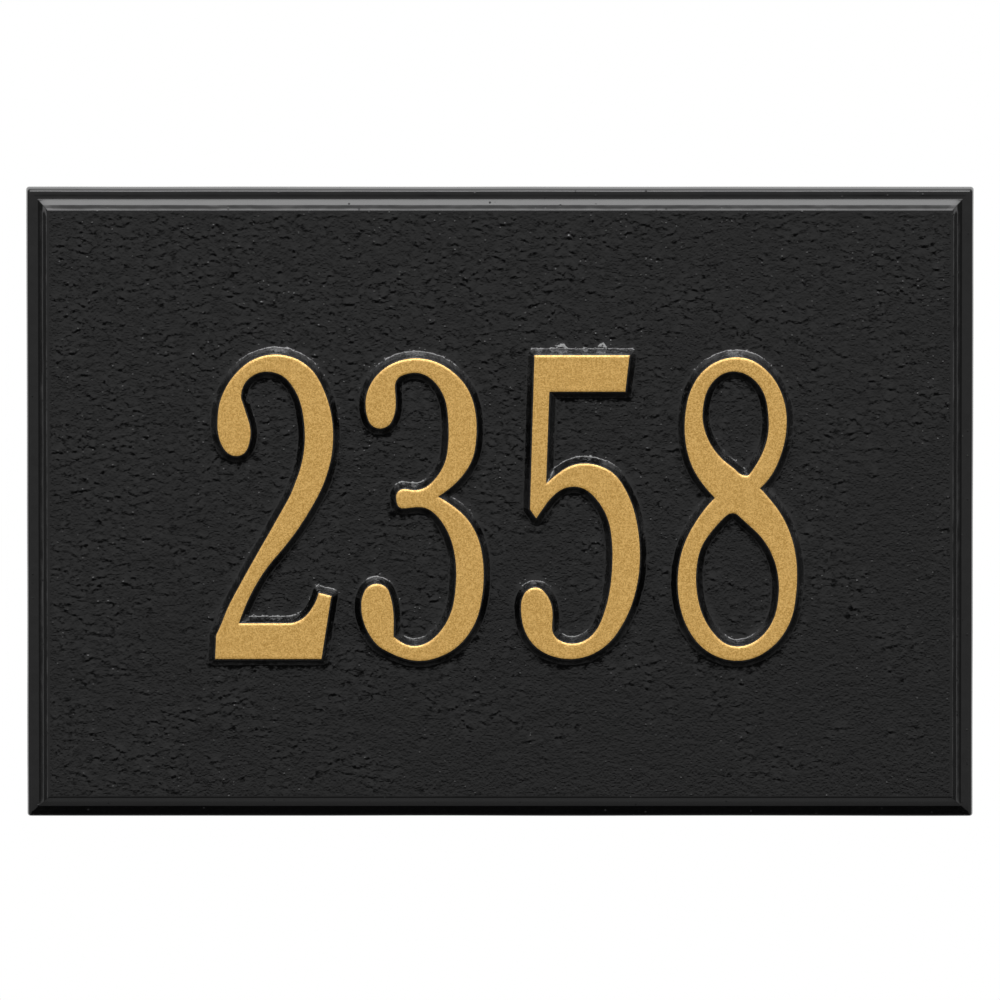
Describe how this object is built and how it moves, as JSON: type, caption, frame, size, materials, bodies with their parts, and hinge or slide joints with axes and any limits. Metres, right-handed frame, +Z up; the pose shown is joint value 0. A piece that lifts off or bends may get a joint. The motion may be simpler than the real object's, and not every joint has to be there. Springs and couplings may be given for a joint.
{
  "type": "address plaque",
  "caption": "Rectangular cast house-number plaque with a stepped bevelled rim, pebbled black field, raised gold numerals and a hollow back with hidden stud bosses.",
  "frame": {"origin": "centre of the flat back, on the wall plane, midway between the two fixing bosses", "axes": "+X to the reader's right, +Z up, +Y into the wall, so the face looks along -Y"},
  "size_m": [0.314, 0.0118, 0.21],
  "materials": {
    "black_enamel": "glossy black enamel on cast aluminium, gold enamel on the numeral tops"
  },
  "bodies": {
    "root": {"address_plaque": "black_enamel"}
  },
  "joints": []
}
